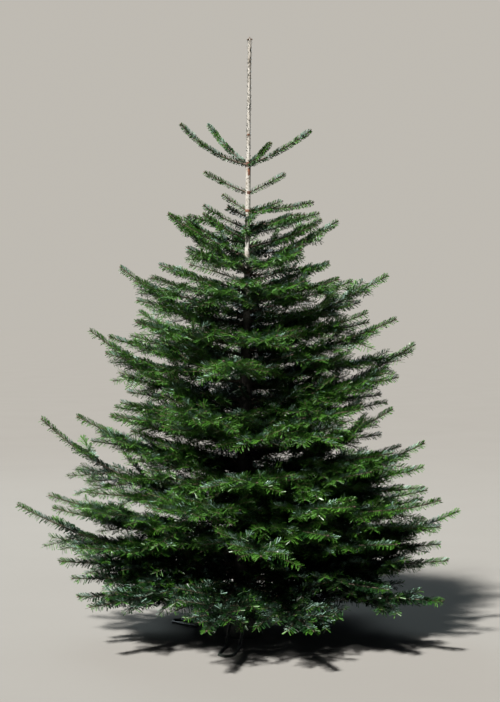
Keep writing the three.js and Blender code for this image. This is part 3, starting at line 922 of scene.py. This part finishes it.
def twig_piece(name, shoots, material, orders, sides, rings):
    """All twigs of some orders as thin tapering tubes joined into one mesh."""
    chosen = np.flatnonzero(np.isin(shoots.order, orders))
    shares = np.linspace(0, 1, rings)
    index = np.repeat(chosen, rings)
    share = np.tile(shares, len(chosen))
    centre = shoots.point(index, share)
    tangent = shoots.heading(index, share)
    across = unit(np.cross(shoots.over[index], tangent))
    other = np.cross(tangent, across)
    radius = shoots.radius[index] + (shoots.tip_radius[index] - shoots.radius[index]) * share
    angles = np.arange(sides) * 2 * math.pi / sides
    spokes = np.cos(angles)[None, :, None] * across[:, None] + np.sin(angles)[None, :, None] * other[:, None]
    vertices = (centre[:, None] + spokes * radius[:, None, None]).reshape(-1, 3)
    faces = []
    for ring in range(rings - 1):
        for k in range(sides):
            after = (k + 1) % sides
            low, high = ring * sides, (ring + 1) * sides
            faces.append((low + k, low + after, high + after))
            faces.append((low + k, high + after, high + k))
    for k in range(1, sides - 1):
        top = (rings - 1) * sides
        faces.append((top, top + k, top + k + 1))
    block = np.array(faces)[None] + (np.arange(len(chosen)) * rings * sides)[:, None, None]
    add_triangles(name, vertices, block.reshape(-1, 3), material)


def relief(point, scale):
    """Bark relief at a point, about -1 to 1."""
    return noise.noise(Vector(point) * scale)


def bough_piece(boughs, material):
    """Every bough as one tapering limb with a collar at the trunk and a rough bark."""
    vertices, faces = [], []
    for bough in boughs:
        sides, collar_rings, limb_rings = TIER_LIMB if bough["label"] else BETWEEN_LIMB
        collar = np.linspace(0, COLLAR_END, collar_rings)
        shares = np.concatenate((collar, np.linspace(LIMB_START, 1, limb_rings)))
        axis, length = bough["axis"], bough["length"]
        points = np.array([at_share(axis, share)[0] for share in shares])
        root = max(BOUGH_ROOT_LEAST, length * BOUGH_RADIUS_SHARE)
        radii = BOUGH_TIP_RADIUS + (root - BOUGH_TIP_RADIUS) * (1 - shares) ** BOUGH_TAPER
        from_trunk = np.maximum(shares * length - float(trunk_radius(bough["height"])), 0)
        radii = radii * (1 + COLLAR_SWELL * np.exp(-from_trunk / (root * COLLAR_REACH)))
        rings = rings_along(points, radii, sides)
        for ring, point in zip(rings, points):
            for k in range(sides):
                bump = 1 + sum(depth * relief(ring[k], scale) for scale, depth in BOUGH_RELIEF)
                ring[k] = point + (ring[k] - point) * bump
        faces += tube_faces(len(points), sides, len(vertices))
        vertices += rings.reshape(-1, 3).tolist()
    limbs = sorted(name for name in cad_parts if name.startswith("bough_"))
    add_piece("boughs", vertices, faces, material, limbs)


def trunk_noise(angle, height, scale_round, scale_up):
    """Noise on the trunk's surface, about -1 to 1."""
    across, back = math.cos(angle) * scale_round, math.sin(angle) * scale_round
    return noise.noise(Vector((across, back, height * scale_up)))


def trunk_surface(angle, height, proud=0.0):
    """A point on the bark at an angle and height, with ridges, grain and resin blisters."""
    swell = 1 + WHORL_SWELL * sum(math.exp(-(((height - tier) / WHORL_REACH) ** 2)) for tier in WHORLS)
    radius = max(TRUNK_TIP_RADIUS, float(trunk_radius(height))) * swell
    ridge = RIDGE_DEPTH * trunk_noise(angle, height, *RIDGE_SCALES)
    grain = GRAIN_DEPTH * trunk_noise(angle, height, *GRAIN_SCALES)
    blister = BLISTER_DEPTH * max(0.0, trunk_noise(angle, height, *BLISTER_SCALES) - BLISTER_FROM)
    grown = radius * (1 + ridge + grain + blister) + proud
    return trunk_x(height) + math.cos(angle) * grown, math.sin(angle) * grown, height


def trunk_piece(material):
    """The trunk with bark relief, swollen where each tier of boughs leaves it."""
    vertices = []
    for height in np.linspace(TRUNK_FOOT, TREE_HEIGHT, TRUNK_RINGS):
        for k in range(TRUNK_SIDES):
            vertices.append(trunk_surface(2 * math.pi * k / TRUNK_SIDES, float(height)))
    faces = tube_faces(TRUNK_RINGS, TRUNK_SIDES)
    add_piece("trunk_bark", vertices, faces, material, ["trunk"])


def scar_piece(material):
    """Brown bark round the young whorls and in patches under the top one, a hair proud of the trunk."""
    vertices, faces = [], []
    for low, high, middle, spread in SCARS:
        first = len(vertices)
        for row in range(SCAR_ROWS):
            up = row / (SCAR_ROWS - 1) * 2 - 1
            for column in range(SCAR_COLUMNS):
                across = column / (SCAR_COLUMNS - 1) * 2 - 1
                angle = math.radians(middle + across * spread)
                place = Vector((across * SCAR_SCALES[0], low * SCAR_SCALES[1], row * SCAR_SCALES[2]))
                ragged = 1 - SCAR_RAGGED * abs(noise.noise(place))
                height = (low + high) / 2 + up * ragged * (high - low) / 2
                edge = max(abs(up), abs(across) if spread < 180 else 0)
                vertices.append(trunk_surface(angle, height, SCAR_PROUD * (1 - edge**4) - SCAR_TUCK))
        for row in range(SCAR_ROWS - 1):
            for column in range(SCAR_COLUMNS - 1):
                corner = first + row * SCAR_COLUMNS + column
                above = corner + SCAR_COLUMNS
                faces.append((corner, corner + 1, above + 1, above))
    add_piece("bark_scars", vertices, faces, material)


def bud_arrays(points, directions, lengths):
    """Small pointed buds, eight faces each, at many points."""
    side = unit(np.cross(directions, NEAR_UP))
    other = np.cross(directions, side)
    middle = points + directions * (lengths * BUD_MIDDLE)[:, None]
    width = (lengths * BUD_WIDTH_SHARE)[:, None] / 2
    ring = (middle + side * width, middle + other * width, middle - side * width, middle - other * width)
    root = points - directions * (lengths * BUD_ROOT)[:, None]
    tip = points + directions * lengths[:, None]
    corners = np.stack((root, *ring, tip), 1)
    block = []
    for k in range(1, 5):
        after = k % 4 + 1
        block += [(0, after, k), (5, k, after)]
    faces = np.array(block)[None] + (np.arange(len(points)) * 6)[:, None, None]
    return corners.reshape(-1, 3), faces.reshape(-1, 3)


def bud_piece(boughs, shoots, material):
    """Winter buds: three at each bough's tip, one at each first shoot's, and a ring of them on the leader."""
    buds = []
    for bough in boughs:
        point, along, side, _ = at_share(bough["axis"], 1)
        buds.append((point, along, BOUGH_BUD))
        for hand in (1, -1):
            buds.append((point, unit(along + side * BUD_SPLAY * hand), BESIDE_BUD))
    ends = np.flatnonzero(shoots.order == 1)
    whole = np.ones(len(ends))
    for tip, heading in zip(shoots.point(ends, whole), shoots.heading(ends, whole)):
        buds.append((tip, heading, SHOOT_BUD))
    top = np.array((trunk_x(TREE_HEIGHT), 0, TREE_HEIGHT - LEADER_BUD_DROP))
    buds.append((top, UP, LEADER_BUD))
    for k in range(LEADER_BUD_RING):
        angle = 2 * math.pi * k / LEADER_BUD_RING + LEADER_BUD_TURN
        outward = np.array((math.cos(angle), math.sin(angle), LEADER_BUD_RISE))
        place = top - UP * LEADER_BUD_DROP + outward * LEADER_BUD_OUT
        buds.append((place, unit(outward), BOUGH_BUD))
    vertices, faces = bud_arrays(*(np.array(kind) for kind in zip(*buds)))
    add_triangles("buds", vertices, faces, material)


def leader_needles(material):
    """The few short needles on the leader and the tuft under its top bud."""
    count = LEADER_NEEDLES
    reach = TREE_HEIGHT - LEADER_TO_TIP - LEADER_FROM
    height = LEADER_FROM + reach * np.sort(fine.random(count) ** LEADER_CROWDING)
    turn = fine.random(count) * 2 * math.pi
    outward = np.stack((np.cos(turn), np.sin(turn), np.zeros(count)), 1)
    near_top = np.clip((height - (TREE_HEIGHT - TUFT_REACH)) / TUFT_REACH, 0, 1)
    length = (LEADER_LENGTH + TUFT_LENGTH * near_top) * fine.uniform(*LEADER_LENGTH_SPREAD, count)
    direction = unit(outward * LEADER_LEAN + UP)
    base = outward * (trunk_radius(height) * LEADER_SEAT)[:, None]
    base = base + np.stack((trunk_x(height), np.zeros(count), height), 1)
    width = unit(np.cross(UP, outward)) * (NEEDLE_WIDTH * LEADER_HALF_WIDTH)
    vertices, triangles = needle_mesh(needle_corners(base, base + direction * length[:, None], width))
    add_triangles("needles_leader", vertices, triangles, material)


# Materials


def new_material(name):
    """A material with its node tree, its shader and the place on the object."""
    material = bpy.data.materials.new(name)
    material.use_nodes = True
    tree = material.node_tree
    shader = tree.nodes["Principled BSDF"]
    coordinates = tree.nodes.new("ShaderNodeTexCoord")
    return material, tree, shader, coordinates.outputs["Object"]


def noise_node(tree, place, scale, detail):
    node = tree.nodes.new("ShaderNodeTexNoise")
    node.inputs["Scale"].default_value = scale
    node.inputs["Detail"].default_value = detail
    tree.links.new(place, node.inputs["Vector"])
    return node.outputs["Fac"]


def ramp_node(tree, value, stops):
    node = tree.nodes.new("ShaderNodeValToRGB")
    elements = node.color_ramp.elements
    while len(elements) < len(stops):
        elements.new(0.5)
    for element, (position, color) in zip(elements, stops):
        element.position = position
        element.color = (*color, 1)
    tree.links.new(value, node.inputs["Fac"])
    return node.outputs["Color"]


def range_node(tree, value, goal, source=NOISE_SPREAD):
    """A value turned from one range into another."""
    node = tree.nodes.new("ShaderNodeMapRange")
    for title, limit in zip(("From Min", "From Max", "To Min", "To Max"), (*source, *goal)):
        node.inputs[title].default_value = limit
    tree.links.new(value, node.inputs["Value"])
    return node.outputs["Result"]


def bump_node(tree, shader, height, strength, distance):
    node = tree.nodes.new("ShaderNodeBump")
    node.inputs["Strength"].default_value = strength
    node.inputs["Distance"].default_value = distance
    tree.links.new(height, node.inputs["Height"])
    tree.links.new(node.outputs["Normal"], shader.inputs["Normal"])


def multiplied(tree, color, tones, share=1.0):
    mix = tree.nodes.new("ShaderNodeMix")
    mix.data_type = "RGBA"
    mix.blend_type = "MULTIPLY"
    mix.inputs["Factor"].default_value = share
    tree.links.new(color, mix.inputs["A"])
    tree.links.new(tones, mix.inputs["B"])
    return mix.outputs["Result"]


def needle_material(name, dark, light, roughness, gloss_level):
    """Waxy needles: the green drifts from spray to spray and a little along each needle."""
    material, tree, shader, place = new_material(name)
    drift = noise_node(tree, place, *NEEDLE_DRIFT)
    color = ramp_node(tree, drift, ((0.3, dark), (0.7, light)))
    streaks = noise_node(tree, place, *NEEDLE_STREAKS)
    tones = ramp_node(tree, streaks, ((0.3, STREAK_TONE), (0.7, WHITE)))
    tree.links.new(multiplied(tree, color, tones), shader.inputs["Base Color"])
    gloss = noise_node(tree, place, *NEEDLE_GLOSS)
    tree.links.new(range_node(tree, gloss, roughness), shader.inputs["Roughness"])
    shader.inputs["Specular IOR Level"].default_value = gloss_level
    return material


def bark_material(name, stops, scale, depth, old_and_shaded_below=None):
    """Bark with patches and small dark marks, darker towards the foot between two heights if given."""
    material, tree, shader, place = new_material(name)
    patches = noise_node(tree, place, scale, BARK_DETAIL)
    color = ramp_node(tree, patches, stops)
    marks = noise_node(tree, place, scale * MARK_FINENESS, MARK_DETAIL)
    spots = ramp_node(tree, marks, ((0.36, MARK_TONE), (0.46, WHITE)))
    color = multiplied(tree, color, spots, MARK_SHARE)
    # Older bark and painted shade under the crown: darker towards the foot.
    if old_and_shaded_below:
        height = tree.nodes.new("ShaderNodeSeparateXYZ")
        tree.links.new(place, height.inputs["Vector"])
        old_and_shaded = range_node(tree, height.outputs["Z"], (0, 1), old_and_shaded_below)
        tones = ramp_node(tree, old_and_shaded, ((0.0, OLD_BARK_AND_SHADE), (1.0, WHITE)))
        color = multiplied(tree, color, tones)
    tree.links.new(color, shader.inputs["Base Color"])
    tree.links.new(range_node(tree, patches, BARK_ROUGHNESS), shader.inputs["Roughness"])
    bump_node(tree, shader, marks, BARK_BUMP, depth)
    return material


def paint_material(name):
    """Dark satin paint on steel, scuffed and dusty in places."""
    material, tree, shader, place = new_material(name)
    dust = noise_node(tree, place, *PAINT_DUST)
    tree.links.new(ramp_node(tree, dust, PAINT_STOPS), shader.inputs["Base Color"])
    grain = noise_node(tree, place, *PAINT_GRAIN)
    tree.links.new(range_node(tree, grain, PAINT_ROUGHNESS), shader.inputs["Roughness"])
    bump_node(tree, shader, grain, *PAINT_BUMP)
    return material


def floor_material():
    """A pale matte floor with a faint drift."""
    material, tree, shader, place = new_material("floor_matte")
    drift = noise_node(tree, place, *FLOOR_DRIFT)
    tree.links.new(ramp_node(tree, drift, FLOOR_STOPS), shader.inputs["Base Color"])
    shader.inputs["Roughness"].default_value = FLOOR_ROUGHNESS
    shader.inputs["Specular IOR Level"].default_value = 0.0
    return material


# Camera, light and floor


def set_camera():
    camera = bpy.data.cameras.new("camera")
    camera.lens = CAMERA_LENS
    camera.sensor_width = CAMERA_SENSOR
    holder = bpy.data.objects.new("camera", camera)
    holder.location = CAMERA_PLACE
    holder.rotation_euler = (math.pi / 2 + CAMERA_PITCH, 0, 0)
    bpy.context.scene.collection.objects.link(holder)
    bpy.context.scene.camera = holder


def add_light(name, kind, place, target, power, color):
    """A light turned towards a point."""
    light = bpy.data.lights.new(name, kind)
    light.energy = power
    light.color = color
    holder = bpy.data.objects.new(name, light)
    holder.location = place
    direction = Vector(target) - holder.location
    holder.rotation_euler = direction.to_track_quat("-Z", "Y").to_euler()
    bpy.context.scene.collection.objects.link(holder)
    return light


def set_light():
    """A key from high on the left front, a cool lamp from behind, a weak sky and the camera's backdrop."""
    key = add_light("key_light", "SUN", KEY_DIRECTION, (0, 0, 0), KEY_STRENGTH, KEY_COLOR)
    key.angle = KEY_ANGLE
    top = add_light("top_light", "AREA", TOP_PLACE, TOP_TARGET, TOP_POWER, TOP_COLOR)
    top.shape = "DISK"
    top.size = TOP_SIZE
    world = bpy.data.worlds.new("studio")
    world.use_nodes = True
    nodes, links = world.node_tree.nodes, world.node_tree.links
    sky = nodes["Background"]
    sky.inputs["Color"].default_value = (*SKY_COLOR, 1)
    sky.inputs["Strength"].default_value = SKY_STRENGTH
    backdrop = nodes.new("ShaderNodeBackground")
    backdrop.inputs["Color"].default_value = (*BACKDROP, 1)
    seen = nodes.new("ShaderNodeLightPath")
    chosen = nodes.new("ShaderNodeMixShader")
    links.new(seen.outputs["Is Camera Ray"], chosen.inputs[0])
    links.new(sky.outputs[0], chosen.inputs[1])
    links.new(backdrop.outputs[0], chosen.inputs[2])
    links.new(chosen.outputs[0], nodes["World Output"].inputs["Surface"])
    bpy.context.scene.world = world
    bpy.context.scene.view_settings.view_transform = "Standard"


def set_floor():
    mesh = bpy.data.meshes.new("floor")
    reach = FLOOR_REACH
    corners = [(-reach, -reach, 0), (reach, -reach, 0), (reach, reach, 0), (-reach, reach, 0)]
    mesh.from_pydata(corners, [], [(0, 1, 2, 3)])
    mesh.materials.append(floor_material())
    floor = bpy.data.objects.new("floor", mesh)
    bpy.context.scene.collection.objects.link(floor)


# Assembly

set_camera()
set_light()
set_floor()

needle_finishes = {age: needle_material(f"needles_{age}", *NEEDLE_LOOKS[age]) for age in NEEDLE_AGES_AND_GLINT}
twig_bark = bark_material("twig_bark", TWIG_STOPS, scale=60.0, depth=0.0003)
bough_bark = bark_material("bough_bark", BOUGH_STOPS, scale=40.0, depth=0.0006)
trunk_bark = bark_material("trunk_bark", TRUNK_STOPS, scale=22.0, depth=0.0010, old_and_shaded_below=OLD_BARK_AND_SHADE_HEIGHTS)
scar_bark = bark_material("scar_bark", SCAR_STOPS, scale=60.0, depth=0.0006)
bud_scales = bark_material("bud_scales", BUD_STOPS, scale=200.0, depth=0.0002)
stand_paint = paint_material("stand_paint")

boughs, shoots = grow()
trunk_piece(trunk_bark)
scar_piece(scar_bark)
bough_piece(boughs, bough_bark)
twig_piece("twigs_first", shoots, twig_bark, orders=(1,), sides=4, rings=4)
twig_piece("twigs_fine", shoots, twig_bark, orders=(2, 3), sides=3, rings=2)
bud_piece(boughs, shoots, bud_scales)
needle_pieces(boughs, shoots, needle_finishes)
leader_needles(needle_finishes["old"])

for node_name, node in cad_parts.items():
    if node_name.startswith("stand_"):
        node.data.materials.clear()
        node.data.materials.append(stand_paint)
